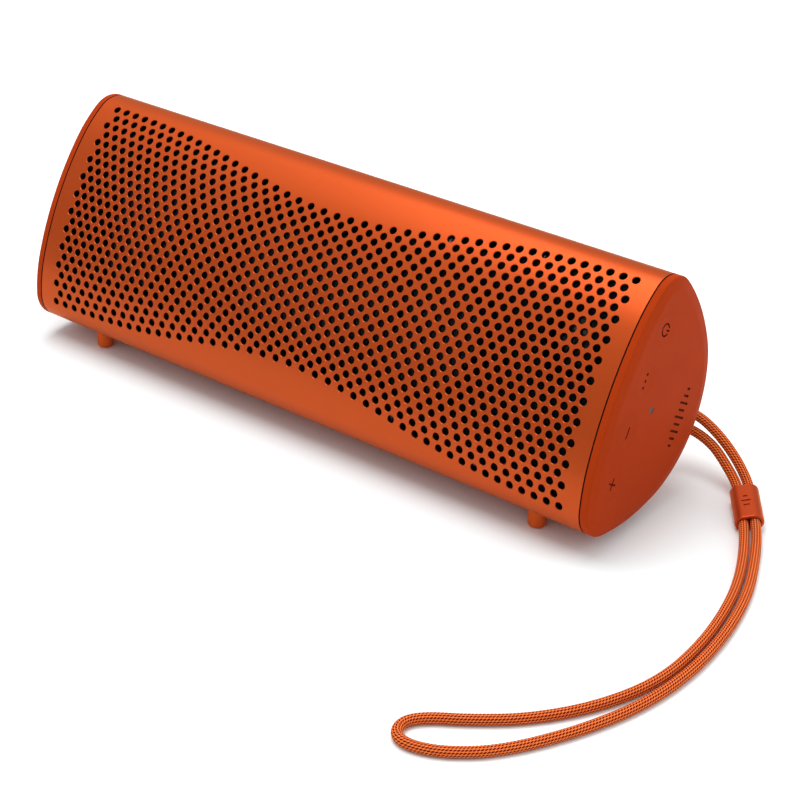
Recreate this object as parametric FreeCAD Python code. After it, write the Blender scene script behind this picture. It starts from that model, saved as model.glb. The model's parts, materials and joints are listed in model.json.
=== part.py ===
"""Portable bluetooth speaker with a perforated aluminium sleeve and a braided wrist strap.

Millimetres. The row frame has +X along the body towards the end with the keys, +Z up and the
perforated face towards -Y. The body's D-shaped section leans back, so its pieces are drawn
upright in a body frame (x along the body, y depth from the face, z height along the face)
and seat() turns them into the row frame. The strap lies on the floor and is drawn in the row frame.
"""
import FreeCAD
import Part
import math
import os

from FreeCAD import Vector

# ---- Driving dimensions -------------------------------------------------------------------------

LEAN = 30.7                 # degrees that the face leans back from upright
FACE_Y = -18.75             # middle of the perforated face in the row frame
FACE_Z = 46.2

# The section's outline, from the middle of the face to the middle of the back: radius and turn of
# each tangent arc. The back arc closes the outline, so its radius follows from the others.
SECTION_ARCS = ((103.2, 10.9), (46.5, 16.1), (9.9, 80.7), (62.4, 24.2))

SEAM_X = 104.5              # plane where each end cap meets the sleeve
SLEEVE_HALF = 104.3
SLEEVE_WALL = 1.5
SPLIT_DEPTH = 12.0          # the sleeve is drawn as a perforated front and a plain back, split here
CAP_SIDE_X = 106.3          # where the cap's side ends and its rounded shoulder begins
CAP_SHOULDER = (106.8, 0.45)    # place and inset of the shoulder's end
CAP_FACE_X = 107.5
CAP_FACE_INSET = 3.4        # the cap slopes up to its flat face over this width
CAP_WALL = 1.4
FIT = 0.2                   # clearance of the caps' spigots in the sleeve

# The perforation: staggered rows that spread from the waist towards the ends.
HOLE_R = 1.16
ROWS_EACH_SIDE = 11
HALF_COLUMNS = 44
PATTERN_HALF_LENGTH = 97.68
COLUMN_SWELL = 8.35
COLUMN_BOW = 4.875
COLUMN_RIPPLE = 0.578
WAIST_HALF_HEIGHT = 22.756
END_GAIN = 10.259
SPREAD_SHIFT = 0.115
ROW_CROWD = 0.0306

KEY_R = 4.5
KEY_GAP = 0.05
KEY_PLACES = {"power_key": (22.0, 13.1), "source_key": (7.3, 11.6),     # height and depth of each
              "volume_down_key": (-7.4, 11.75), "volume_up_key": (-22.0, 13.0)}
ICON_DEPTH = 0.3
LIGHT_PLACE = (0.1, 20.7)   # height and depth of the status light
LIGHT_R = 1.0
GLYPH_Y = 38.4              # depth of the row of bars on the cap
GLYPH_PITCH = 2.1
GLYPH_HEIGHTS = (1.8, 3.0, 4.8, 3.6, 5.4, 3.6, 4.8, 3.0, 1.8)
GLYPH_WIDTH = 0.7

FOOT_R = 2.6
FOOT_X = 85.2
FOOT_ROWS = {"front_feet": -21.3, "rear_feet": 8.5}     # their places in the row frame

INNER_INSET = 3.2           # inset of the baffle and enclosure from the outer outline
ENCLOSURE_WALL = 2.0
CARRIER_WALL = 1.6
BAFFLE_FRONT = 9.5
BAFFLE_BACK = 12.0
GASKET_BACK = 12.6
INNER_LEFT = -99.0
BULKHEAD_X = 66.0
CARRIER_RIGHT = 93.0
BAFFLE_RIGHT = 97.5

WOOFER_X = 10.0
RADIATOR_X = -74.0
TWEETER_X = 84.5
TWEETER_Z = 10.0
PORT_X = 76.0
EYELET_X = 88.0
STRAND_HEIGHTS = (1.7, -3.6)
STRAP_R = 1.5
WIRE_Y = 30.0               # depth and height of the battery wires
WIRE_Z = -21.5
WIRE_R = 0.55
GROMMET_R = 2.5
WIRE_PAIR = (-1.0, 1.0)     # heights of the two wires from their middle

# The slider holds the strap's two strands side by side.
SLIDER_CENTRE = Vector(129.0, 18.4, 3.3)
SLIDER_ALONG = Vector(0.592, -0.803, -0.07).normalize()
SLIDER_ACROSS = Vector(0.798, 0.572, 0.189)
SLIDER_LENGTH = 15.0
STRAND_OFFSET = 1.6         # of each strand's centre from the slider's
SLIDER_RUN = 11.5           # half of the straight run through the slider
SLIDER_BORE_R = 1.7
SLIDER_R = 2.5


def slider_run(side, end):
    """Centre of a strand at one end of its straight run through the slider."""
    return SLIDER_CENTRE + SLIDER_ACROSS * (side * STRAND_OFFSET) + SLIDER_ALONG * (end * SLIDER_RUN)


# The strap's centre line, row frame: out of the upper bore, through the slider, round the loop on
# the floor, back through the slider and into the lower bore.
FLOOR = STRAP_R
STRAP_ROUTE = (
    (88.0, 21.25, 24.4), (88.0, 28.75, 19.9), (94.6, 34.2, 17.0), (102.5, 34.5, 16.2),
    (109.5, 33.6, 13.4), (116.4, 32.2, 9.0), slider_run(1, -1), slider_run(1, 1),
    (143.0, -1.2, FLOOR), (149.6, -16.4, FLOOR), (153.9, -34.6, FLOOR), (155.4, -54.2, FLOOR),
    (153.0, -73.2, FLOOR), (146.1, -91.4, FLOOR), (136.2, -108.2, FLOOR), (126.3, -116.9, FLOOR),
    (118.0, -120.3, FLOOR), (112.6, -119.5, FLOOR), (110.6, -114.6, FLOOR), (114.0, -109.6, FLOOR),
    (123.2, -103.7, FLOOR), (134.4, -94.4, FLOOR), (144.7, -80.0, FLOOR), (151.2, -62.5, FLOOR),
    (151.5, -43.5, FLOOR), (148.4, -24.6, FLOOR), (143.2, -8.7, FLOOR), slider_run(-1, 1),
    slider_run(-1, -1), (113.9, 29.9, 8.0), (109.3, 31.4, 10.5), (102.6, 32.6, 12.0),
    (94.5, 31.6, 12.8), (88.0, 25.95, 15.4), (88.0, 18.55, 19.9),
)

ENGRAVE = 0.3


# ---- Frames and helpers --------------------------------------------------------------------------

def seat(shape):
    """Turn a shape drawn in the upright body frame into the leaning row frame."""
    placed = shape.copy()
    placed.rotate(Vector(0, 0, 0), Vector(1, 0, 0), -LEAN)
    placed.translate(Vector(0, FACE_Y, FACE_Z))
    return placed


def unseat(shape):
    """Bring a shape drawn in the row frame into the upright body frame."""
    placed = shape.copy()
    placed.translate(Vector(0, -FACE_Y, -FACE_Z))
    placed.rotate(Vector(0, 0, 0), Vector(1, 0, 0), LEAN)
    return placed


def box(x0, x1, y0, y1, z0, z1):
    return Part.makeBox(x1 - x0, y1 - y0, z1 - z0, Vector(x0, y0, z0))


def rod(radius, start, end):
    """A round bar between two points."""
    start = Vector(*start)
    axis = Vector(*end) - start
    return Part.makeCylinder(radius, axis.Length, start, axis)


def disc(radius, x, z, y0, y1):
    """A round disc whose axis runs along the depth."""
    return rod(radius, (x, y0, z), (x, y1, z))


def ring(outer, inner, x, z, y0, y1):
    return disc(outer, x, z, y0, y1).cut(disc(inner, x, z, y0 - 1, y1 + 1))


def racetrack(radius, half_straight, x, y):
    """A racetrack outline at depth y, long along x, centred on height 0."""
    left = x - half_straight
    right = x + half_straight
    corners = [Vector(left, y, radius), Vector(right, y, radius),
               Vector(right, y, -radius), Vector(left, y, -radius)]
    edges = [Part.LineSegment(corners[0], corners[1]).toShape(),
             Part.Arc(corners[1], Vector(right + radius, y, 0), corners[2]).toShape(),
             Part.LineSegment(corners[2], corners[3]).toShape(),
             Part.Arc(corners[3], Vector(left - radius, y, 0), corners[0]).toShape()]
    return Part.Wire(edges)


def racetrack_plate(radius, half_straight, x, y0, y1):
    return Part.Face(racetrack(radius, half_straight, x, y0)).extrude(Vector(0, y1 - y0, 0))


def racetrack_ring(outer, inner, half_straight, x, y0, y1):
    plate = racetrack_plate(outer, half_straight, x, y0, y1)
    return plate.cut(racetrack_plate(inner, half_straight, x, y0 - 1, y1 + 1))


def racetrack_roll(middle, half_straight, x, y, outer, inner):
    """A half-round roll that runs round a racetrack, bulging towards the face."""
    def profile():
        bump = [Part.Arc(Vector(0, y, middle - outer), Vector(0, y - outer, middle),
                         Vector(0, y, middle + outer)).toShape(),
                Part.LineSegment(Vector(0, y, middle + outer), Vector(0, y, middle + inner)).toShape(),
                Part.Arc(Vector(0, y, middle + inner), Vector(0, y - inner, middle),
                         Vector(0, y, middle - inner)).toShape(),
                Part.LineSegment(Vector(0, y, middle - inner), Vector(0, y, middle - outer)).toShape()]
        return Part.Face(Part.Wire(bump))

    pieces = []
    for side in (1, -1):
        straight = profile()
        if side < 0:
            straight.rotate(Vector(0, 0, 0), Vector(0, 1, 0), 180)
        straight.translate(Vector(x - half_straight, 0, 0))
        pieces.append(straight.extrude(Vector(2 * half_straight, 0, 0)))
        bend = profile()
        if side < 0:
            bend.rotate(Vector(0, 0, 0), Vector(0, 1, 0), 180)
        bend.translate(Vector(x + side * half_straight, 0, 0))
        centre = Vector(x + side * half_straight, 0, 0)
        pieces.append(bend.revolve(centre, Vector(0, 1, 0), 180))
    return pieces[0].multiFuse(pieces[1:]).removeSplitter()


def upright(shape, x):
    """Turn a racetrack piece so that it is long along the height."""
    turned = shape.copy()
    turned.rotate(Vector(x, 0, 0), Vector(0, 1, 0), 90)
    return turned


# ---- The body's section ------------------------------------------------------------------------

def section_arcs(inset):
    """Centre, radius, start and end angle of each arc of the upper half of the outline."""
    arcs = []
    centre_y = SECTION_ARCS[0][0]
    centre_z = 0.0
    angle = 0.0
    last = SECTION_ARCS[0][0]
    for radius, turn in SECTION_ARCS:
        centre_y -= (last - radius) * math.cos(angle)
        centre_z += (last - radius) * math.sin(angle)
        end = angle + math.radians(turn)
        arcs.append((centre_y, centre_z, radius - inset, angle, end))
        angle = end
        last = radius
    back = last + centre_z / math.sin(angle)
    centre_y -= (last - back) * math.cos(angle)
    arcs.append((centre_y, 0.0, back - inset, angle, math.pi))
    return arcs


def arc_point(arc, angle, x=0.0, side=1):
    centre_y, centre_z, radius = arc[:3]
    return Vector(x, centre_y - radius * math.cos(angle), side * (centre_z + radius * math.sin(angle)))


def section_wire(inset, x):
    arcs = section_arcs(inset)
    face, back = arcs[0], arcs[-1]
    edges = [Part.Arc(arc_point(face, face[4], x, -1), arc_point(face, 0, x),
                      arc_point(face, face[4], x)).toShape()]
    for arc in arcs[1:-1]:
        middle = (arc[3] + arc[4]) / 2
        edges.append(Part.Arc(arc_point(arc, arc[3], x), arc_point(arc, middle, x),
                              arc_point(arc, arc[4], x)).toShape())
    edges.append(Part.Arc(arc_point(back, back[3], x), arc_point(back, math.pi, x),
                          arc_point(back, back[3], x, -1)).toShape())
    for arc in reversed(arcs[1:-1]):
        middle = (arc[3] + arc[4]) / 2
        edges.append(Part.Arc(arc_point(arc, arc[4], x, -1), arc_point(arc, middle, x, -1),
                              arc_point(arc, arc[3], x, -1)).toShape())
    return Part.Wire(edges)


def section_bar(inset, x0, x1):
    return Part.Face(section_wire(inset, x0)).extrude(Vector(x1 - x0, 0, 0))


def section_taper(inset0, x0, inset1, x1):
    return Part.makeLoft([section_wire(inset0, x0), section_wire(inset1, x1)], True, True)


def section_tube(outer, inner, x0, x1):
    return section_bar(outer, x0, x1).cut(section_bar(inner, x0 - 1, x1 + 1))


def behind(shape, y):
    """The part of a shape that lies deeper than y."""
    return shape.common(box(-130, 130, y, 80, -60, 60))


def slice_between(shape, y0, y1):
    return shape.common(box(-130, 130, y0, y1, -60, 60))


# ---- Perforation -------------------------------------------------------------------------------

def face_spot(arc_length):
    """Point on the face at a length from its middle, and the outward direction there."""
    side = 1 if arc_length >= 0 else -1
    left = abs(arc_length)
    for arc in section_arcs(0.0):
        span = arc[2] * (arc[4] - arc[3])
        if left <= span:
            break
        left -= span
    angle = arc[3] + left / arc[2]
    outward = Vector(0, -math.cos(angle), side * math.sin(angle))
    return arc_point(arc, angle, 0.0, side), outward


def hole_places():
    """Distance along the body and length up the face of every hole."""
    for row in range(-ROWS_EACH_SIDE, ROWS_EACH_SIDE + 1):
        w = row / ROWS_EACH_SIDE
        for column in range(-HALF_COLUMNS, HALF_COLUMNS + 1):
            if (row + column) % 2 == 0:
                continue
            u = abs(column) / HALF_COLUMNS
            x = PATTERN_HALF_LENGTH * u + (COLUMN_SWELL - COLUMN_BOW * w * w) * math.sin(math.pi * u)
            x += COLUMN_RIPPLE * math.sin(2 * math.pi * u)
            spread = u + SPREAD_SHIFT * math.sin(math.pi * u)
            half = WAIST_HALF_HEIGHT + END_GAIN * (1 - math.cos(math.pi * spread)) / 2
            yield math.copysign(x, column), w * half * (1 + ROW_CROWD * (w * w - 1))


def hole_drills():
    drills = []
    for x, arc_length in hole_places():
        point, outward = face_spot(arc_length)
        start = point + outward * 1.0 + Vector(x, 0, 0)
        drills.append(Part.makeCylinder(HOLE_R, 1.0 + SLEEVE_WALL + 1.0, start, outward * -1))
    return drills


# ---- Outer pieces -------------------------------------------------------------------------------

STEM_R = 1.6
STEM_REACH = 1.2
TREAD_ROUND = 1.1


def foot_piece(x, y):
    """A rubber peg with a rounded tread, meeting the sleeve's skin, and its stem through the wall."""
    skin = seat(section_bar(0.0, x - 10, x + 10))
    deep = seat(section_bar(SLEEVE_WALL + STEM_REACH, x - 10, x + 10))
    tread = rod(FOOT_R, (x, y, 0), (x, y, 16))
    low = [e for e in tread.Edges if e.BoundBox.ZMax < 0.01 and e.Length > 5]
    tread = tread.makeFillet(TREAD_ROUND, low)
    stem = rod(STEM_R, (x, y, 2), (x, y, 25))
    return tread.cut(skin).Solids[0].fuse(stem.cut(deep).Solids[0]).removeSplitter()


def port_shape(half_x, half_z, y0, y1):
    """A plug-shaped opening across the back wall, long along x."""
    return racetrack_plate(half_z, half_x - half_z, PORT_X, y0, y1)


def eyelet_shape(half_x, half_z, y0, y1):
    middle = sum(STRAND_HEIGHTS) / 2
    shape = racetrack_plate(half_x, half_z - half_x, 0, y0, y1)
    shape.rotate(Vector(0, 0, 0), Vector(0, 1, 0), 90)
    shape.translate(Vector(EYELET_X, 0, middle))
    return shape


def sleeve_tube():
    return section_tube(0.0, SLEEVE_WALL, -SLEEVE_HALF, SLEEVE_HALF)


def sleeve_front():
    """The perforated face of the sleeve and its rounded edges."""
    front = slice_between(sleeve_tube(), -1.0, SPLIT_DEPTH)
    return front.cut(Part.makeCompound(hole_drills()))


def sleeve_back():
    """The plain rest of the sleeve, with its openings for the socket, the eyelet and the feet."""
    tools = [port_shape(7.0, 4.2, 40, 60), eyelet_shape(3.0, 6.0, 40, 60)]
    for y in FOOT_ROWS.values():
        for x in (-FOOT_X, FOOT_X):
            tools.append(unseat(rod(STEM_R, (x, y, 0), (x, y, 25))))
    return behind(sleeve_tube(), SPLIT_DEPTH).cut(Part.makeCompound(tools))


def blank_cap():
    """The cap at the +X end before its keys are cut: side, shoulder, slope, flat face and spigot."""
    shoulder_x, shoulder_inset = CAP_SHOULDER
    cap = section_bar(0.0, SEAM_X, CAP_SIDE_X)
    cap = cap.fuse(section_taper(0.0, CAP_SIDE_X, shoulder_inset, shoulder_x))
    cap = cap.fuse(section_taper(shoulder_inset, shoulder_x, CAP_FACE_INSET, CAP_FACE_X))
    spigot = SLEEVE_WALL + FIT
    cap = cap.fuse(section_tube(spigot, spigot + CAP_WALL, 100.5, SEAM_X))
    return cap.removeSplitter()


def glyph_bars():
    """A plain row of sound-level bars, sunk in the cap near its back edge."""
    start = -GLYPH_PITCH * (len(GLYPH_HEIGHTS) - 1) / 2
    bars = []
    for place, height in enumerate(GLYPH_HEIGHTS):
        z = start + place * GLYPH_PITCH
        bars.append(box(CAP_FACE_X - ENGRAVE, 110, GLYPH_Y - height / 2, GLYPH_Y + height / 2,
                        z - GLYPH_WIDTH / 2, z + GLYPH_WIDTH / 2))
    return bars


def control_end_cap():
    cuts = glyph_bars()
    for z, y in KEY_PLACES.values():
        cuts.append(rod(KEY_R + KEY_GAP, (103, y, z), (110, y, z)))
    z, y = LIGHT_PLACE
    cuts.append(rod(LIGHT_R, (103, y, z), (110, y, z)))
    return blank_cap().cut(Part.makeCompound(cuts))


def plain_end_cap():
    return blank_cap().mirror(Vector(0, 0, 0), Vector(1, 0, 0))


def end_gaskets():
    """The thin seal between the sleeve and each cap."""
    gasket = section_tube(0.3, SLEEVE_WALL, SLEEVE_HALF, SEAM_X)
    return Part.makeCompound([gasket, gasket.mirror(Vector(0, 0, 0), Vector(1, 0, 0))])


# ---- Keys ---------------------------------------------------------------------------------------

def stroke(y, z, half_y, half_z):
    """A short straight groove in the key's face."""
    return box(CAP_FACE_X - ICON_DEPTH - 0.1, 110, y - half_y, y + half_y, z - half_z, z + half_z)


def power_icon(y, z):
    outer = rod(2.0, (CAP_FACE_X - ICON_DEPTH - 0.1, y, z), (110, y, z))
    inner = rod(1.5, (100, y, z), (111, y, z))
    gap = box(100, 111, y, y + 3, z - 0.7, z + 0.7)
    return [outer.cut(inner).cut(gap), stroke(y + 1.3, z, 0.95, 0.18)]


def dots_icon(y, z):
    return [rod(0.42, (CAP_FACE_X - ICON_DEPTH - 0.1, y, z + step), (110, y, z + step))
            for step in (-1.95, 0, 1.95)]


def minus_icon(y, z):
    return [stroke(y, z, 0.18, 1.8)]


def plus_icon(y, z):
    return [stroke(y, z, 0.18, 1.8), stroke(y, z, 1.8, 0.18)]


KEY_ICONS = {"power_key": power_icon, "source_key": dots_icon,
             "volume_down_key": minus_icon, "volume_up_key": plus_icon}
KEY_DIMPLE = 0.12
FLANGE_X = 103.75


def key_piece(name):
    """A round key with a dished face, a sunk icon, a keeper flange and a stem."""
    z, y = KEY_PLACES[name]
    key = rod(KEY_R, (104.45, y, z), (CAP_FACE_X, y, z))
    key = key.fuse(rod(KEY_R + 0.8, (FLANGE_X, y, z), (104.45, y, z)))
    key = key.fuse(rod(1.5, (103.4, y, z), (FLANGE_X, y, z)))
    sphere_r = KEY_R ** 2 / (2 * KEY_DIMPLE)
    key = key.cut(Part.makeSphere(sphere_r, Vector(CAP_FACE_X - KEY_DIMPLE + sphere_r, y, z)))
    return key.cut(Part.makeCompound(KEY_ICONS[name](y, z))).removeSplitter()


BOARD_X0 = 98.0
BOARD_X1 = 99.2


def control_board():
    return section_bar(6.0, BOARD_X0, BOARD_X1)


def tact_switches():
    """Four switches on the board; the actuators stand at their pressed height."""
    solids = []
    for z, y in KEY_PLACES.values():
        body = box(BOARD_X1, 101.4, y - 2.25, y + 2.25, z - 2.25, z + 2.25)
        solids.append(body.fuse(rod(1.1, (101.4, y, z), (102.8, y, z))))
    return Part.makeCompound(solids)


def status_led():
    z, y = LIGHT_PLACE
    return box(BOARD_X1, 99.9, y - 0.8, y + 0.8, z - 0.8, z + 0.8)


def status_light_pipe():
    z, y = LIGHT_PLACE
    pipe = rod(LIGHT_R, (99.9, y, z), (CAP_FACE_X - 0.1, y, z))
    return pipe.fuse(rod(LIGHT_R + 0.7, (102.8, y, z), (104.4, y, z))).removeSplitter()


# ---- Baffle and enclosure -----------------------------------------------------------------------

WOOFER_R = 29.0
WOOFER_STRAIGHT = 27.0
RADIATOR_R = 22.0
RADIATOR_STRAIGHT = 6.0
SCREW_PLACES = ((-95.6, 30.6), (-50.0, 31.0), (-18.0, 31.0), (26.0, 31.0), (67.2, 30.6))
SCREW_R = 0.9


def speaker_baffle():
    baffle = slice_between(section_bar(INNER_INSET, INNER_LEFT, BAFFLE_RIGHT), BAFFLE_FRONT, BAFFLE_BACK)
    cuts = [racetrack_plate(26.0, WOOFER_STRAIGHT, WOOFER_X, 0, 20),
            upright(racetrack_plate(20.0, RADIATOR_STRAIGHT, RADIATOR_X, 0, 20), RADIATOR_X),
            disc(10.6, TWEETER_X, TWEETER_Z, 0, 20)]
    for x, z in SCREW_PLACES:
        cuts.append(disc(SCREW_R, x, z, 0, 20))
        cuts.append(disc(SCREW_R, x, -z, 0, 20))
    return baffle.cut(Part.makeCompound(cuts))


def enclosure_walls():
    """The closed walls of the acoustic box, before the front is cut open."""
    solid = section_bar(INNER_INSET, INNER_LEFT, BULKHEAD_X + ENCLOSURE_WALL)
    inset = INNER_INSET + ENCLOSURE_WALL
    return solid.cut(section_bar(inset, INNER_LEFT + ENCLOSURE_WALL, BULKHEAD_X))


def screw_holes():
    drills = []
    for x, z in SCREW_PLACES:
        drills.append(disc(SCREW_R, x, z, 5, 19.5))
        drills.append(disc(SCREW_R, x, -z, 5, 19.5))
    return Part.makeCompound(drills)


def acoustic_enclosure():
    shell = behind(enclosure_walls(), GASKET_BACK)
    inside = section_bar(INNER_INSET + 0.1, INNER_LEFT + 0.5, BULKHEAD_X + 1.5)
    bosses = []
    for x, z in SCREW_PLACES:
        bosses.append(disc(2.4, x, z, GASKET_BACK, 20))
        bosses.append(disc(2.4, x, -z, GASKET_BACK, 20))
    shell = shell.fuse(Part.makeCompound(bosses).common(inside))
    wire_hole = rod(GROMMET_R, (60, WIRE_Y, WIRE_Z), (72, WIRE_Y, WIRE_Z))
    return shell.cut(screw_holes()).cut(wire_hole)


def baffle_gasket():
    return slice_between(enclosure_walls(), BAFFLE_BACK, GASKET_BACK).cut(screw_holes())


def screw(x, z, head_y, length, radius=SCREW_R, head_r=1.7, head=1.0):
    """A pan-head screw driven along the depth, its head towards the face."""
    body = disc(radius, x, z, head_y, head_y + length)
    body = body.fuse(disc(head_r, x, z, head_y - head, head_y))
    slot = box(x - 0.9, x + 0.9, head_y - head - 0.1, head_y - head + 0.4, z - 0.22, z + 0.22)
    cross = box(x - 0.22, x + 0.22, head_y - head - 0.1, head_y - head + 0.4, z - 0.9, z + 0.9)
    return body.cut(slot).cut(cross)


def baffle_screws():
    solids = []
    for x, z in SCREW_PLACES:
        solids.append(screw(x, z, BAFFLE_FRONT, 9.5))
        solids.append(screw(x, -z, BAFFLE_FRONT, 9.5))
    return Part.makeCompound(solids)


# ---- Woofer ---------------------------------------------------------------------------------------

COLLAR_BACK = 13.0          # where the frame's straight collar ends and its ribs begin
MOTOR_TOP = 25.5
COIL_R = 12.5
SPIDER_BACK = 20.6
WOOFER_SCREW_X = (WOOFER_X - 27.0, WOOFER_X, WOOFER_X + 27.0)
WOOFER_SCREW_Z = 27.2
WOOFER_SCREW_R = 0.7


def taper(outer, inner):
    """A ruled body between two racetracks, each (radius, half straight, depth)."""
    wires = [racetrack(radius, straight, WOOFER_X, y) for radius, straight, y in (outer, inner)]
    return Part.makeLoft(wires, True, True)


def woofer_frame():
    rim = racetrack_ring(WOOFER_R, 24.2, WOOFER_STRAIGHT, WOOFER_X, 8.3, BAFFLE_FRONT)
    collar = racetrack_ring(25.6, 24.2, WOOFER_STRAIGHT, WOOFER_X, BAFFLE_FRONT, COLLAR_BACK)
    basket = taper((25.6, WOOFER_STRAIGHT, COLLAR_BACK), (20.5, 3.0, 24.0))
    shell = basket.cut(taper((24.2, WOOFER_STRAIGHT, COLLAR_BACK), (19.3, 3.0, 24.0)))
    windows = [box(WOOFER_X + low, WOOFER_X + low + 11, 13.6, 21.5, -40, 40) for low in (-34, -16, 5, 23)]
    windows.append(box(-60, 80, 13.6, 21.5, -9, 9))
    shell = shell.cut(Part.makeCompound(windows))
    seat_ring = racetrack_plate(20.5, 3.0, WOOFER_X, 24.0, MOTOR_TOP)
    seat_ring = seat_ring.cut(disc(COIL_R + 1.6, WOOFER_X, 0, 20, 30))
    shelf = slice_between(basket, SPIDER_BACK, SPIDER_BACK + 0.8)
    shelf = shelf.cut(disc(17.6, WOOFER_X, 0, 15, 30))
    return rim.multiFuse([collar, shell, seat_ring, shelf]).removeSplitter()


def woofer_surround():
    return racetrack_roll(21.15, WOOFER_STRAIGHT, WOOFER_X, 9.3, 3.0, 2.5)


def woofer_cone():
    cone = taper((18.1, WOOFER_STRAIGHT, 9.4), (13.2, 0.6, 18.0))
    cone = cone.cut(taper((17.5, WOOFER_STRAIGHT, 9.0), (12.5, 0.5, 17.6)))
    cone = cone.fuse(racetrack_ring(18.6, 17.6, WOOFER_STRAIGHT, WOOFER_X, 9.3, 9.9))
    return cone.cut(disc(COIL_R, WOOFER_X, 0, 5, 25)).removeSplitter()


def dome(radius, sphere_r, x, z, edge_y, wall):
    """A thin spherical cap that bulges towards the face, its edge at edge_y."""
    depth = math.sqrt(sphere_r ** 2 - radius ** 2)
    centre = Vector(x, edge_y + depth, z)
    shell = Part.makeSphere(sphere_r, centre).cut(Part.makeSphere(sphere_r - wall, centre))
    return shell.common(disc(radius + 1, x, z, edge_y - sphere_r, edge_y))


def woofer_dust_cap():
    return dome(12.2, 17.0, WOOFER_X, 0, 16.5, 0.4)


def woofer_voice_coil():
    former = ring(COIL_R + 0.25, COIL_R - 0.05, WOOFER_X, 0, 18.2, 31.5)
    winding = ring(COIL_R + 0.7, COIL_R + 0.2, WOOFER_X, 0, 24.5, 31.0)
    return former.fuse(winding).removeSplitter()


def woofer_spider():
    """Corrugated suspension: five shallow rings joined edge to edge."""
    pieces = []
    for step in range(5):
        r0 = COIL_R + 0.3 + step * 1.15
        y = SPIDER_BACK - 0.6 - 0.5 * (step % 2)
        pieces.append(ring(r0 + 1.35, r0, WOOFER_X, 0, y, y + 0.6))
    return pieces[0].multiFuse(pieces[1:]).removeSplitter()


def woofer_pole_plate():
    return disc(12.1, WOOFER_X, 0, 26.0, 29.0)


def woofer_magnet():
    return disc(11.6, WOOFER_X, 0, 29.0, 36.0)


def woofer_yoke_cup():
    cup = disc(17.0, WOOFER_X, 0, MOTOR_TOP, 39.0)
    return cup.cut(disc(13.7, WOOFER_X, 0, 20, 36.0))


def woofer_screws():
    solids = []
    for x in WOOFER_SCREW_X:
        for z in (-WOOFER_SCREW_Z, WOOFER_SCREW_Z):
            solids.append(screw(x, z, 8.3, 5.0, WOOFER_SCREW_R, 1.3, 0.7))
    return Part.makeCompound(solids)


def woofer_screw_holes():
    drills = []
    for x in WOOFER_SCREW_X:
        for z in (-WOOFER_SCREW_Z, WOOFER_SCREW_Z):
            drills.append(disc(WOOFER_SCREW_R, x, z, 5, 14))
    return Part.makeCompound(drills)


# ---- Tweeter ---------------------------------------------------------------------------------------

def tweeter_faceplate():
    return ring(12.8, 10.2, TWEETER_X, TWEETER_Z, 8.2, BAFFLE_FRONT)


def tweeter_dome():
    cap = dome(9.6, 13.0, TWEETER_X, TWEETER_Z, 8.6, 0.3)
    return cap.fuse(ring(9.95, 9.0, TWEETER_X, TWEETER_Z, 8.6, 8.9)).removeSplitter()


def tweeter_suspension():
    """A shallow half roll between the dome and the faceplate."""
    outer = ring(10.2, 9.95, TWEETER_X, TWEETER_Z, 8.4, 8.9)
    return outer.fuse(ring(10.45, 10.2, TWEETER_X, TWEETER_Z, 7.95, 8.2)).fuse(
        ring(10.2, 9.95, TWEETER_X, TWEETER_Z, 7.95, 8.4)).removeSplitter()


def tweeter_voice_coil():
    return ring(9.35, 9.0, TWEETER_X, TWEETER_Z, 8.9, 13.0)


def tweeter_magnet():
    return disc(8.3, TWEETER_X, TWEETER_Z, 11.0, 15.5)


def tweeter_yoke():
    cup = disc(10.4, TWEETER_X, TWEETER_Z, BAFFLE_FRONT, 17.5)
    return cup.cut(disc(9.9, TWEETER_X, TWEETER_Z, 5, 15.5))


# ---- Passive radiator -------------------------------------------------------------------------------

def radiator_frame():
    frame = racetrack_ring(RADIATOR_R, 18.7, RADIATOR_STRAIGHT, RADIATOR_X, 8.3, BAFFLE_FRONT)
    frame = frame.fuse(racetrack_ring(19.8, 18.7, RADIATOR_STRAIGHT, RADIATOR_X, BAFFLE_FRONT, 13.0))
    return upright(frame.removeSplitter(), RADIATOR_X)


def radiator_surround():
    return upright(racetrack_roll(16.0, RADIATOR_STRAIGHT, RADIATOR_X, 9.4, 2.5, 2.0), RADIATOR_X)


def radiator_plate():
    return upright(racetrack_plate(14.0, RADIATOR_STRAIGHT, RADIATOR_X, 9.4, 11.2), RADIATOR_X)


def radiator_weight():
    return disc(8.0, RADIATOR_X, 0, 11.2, 15.0)


# ---- Battery and electronics ---------------------------------------------------------------------

CELL_R = 9.1
CELL_Y = 34.0
CELL_Z = 9.4
CELL_X0 = -96.0
CELL_X1 = -31.5


def battery_cells():
    solids = []
    for z in (-CELL_Z, CELL_Z):
        can = rod(CELL_R, (CELL_X0, CELL_Y, z), (CELL_X1 - 1.0, CELL_Y, z))
        solids.append(can.fuse(rod(3.0, (CELL_X1 - 1.0, CELL_Y, z), (CELL_X1, CELL_Y, z))))
    return Part.makeCompound(solids)


def battery_holder():
    """Two saddles joined by a spine behind the cells."""
    inside = section_bar(INNER_INSET + ENCLOSURE_WALL, CELL_X0, CELL_X1)
    saddles = box(-90, -84, 28, 50, -30, 30).fuse(box(-46, -40, 28, 50, -30, 30))
    spine = box(-90, -40, 42.5, 50, -2.5, 2.5)
    holder = saddles.common(inside).fuse(spine.common(inside))
    for z in (-CELL_Z, CELL_Z):
        holder = holder.cut(rod(CELL_R + 0.1, (-100, CELL_Y, z), (-20, CELL_Y, z)))
    middle = box(-100, -20, 20, 42.5, -CELL_Z, CELL_Z)
    return holder.cut(middle).removeSplitter()


def battery_protection_board():
    inside = section_bar(INNER_INSET + ENCLOSURE_WALL + 0.3, -35, -25)
    return box(-31.3, -30.1, 26, 40, -23.2, 14).common(inside)


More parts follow.
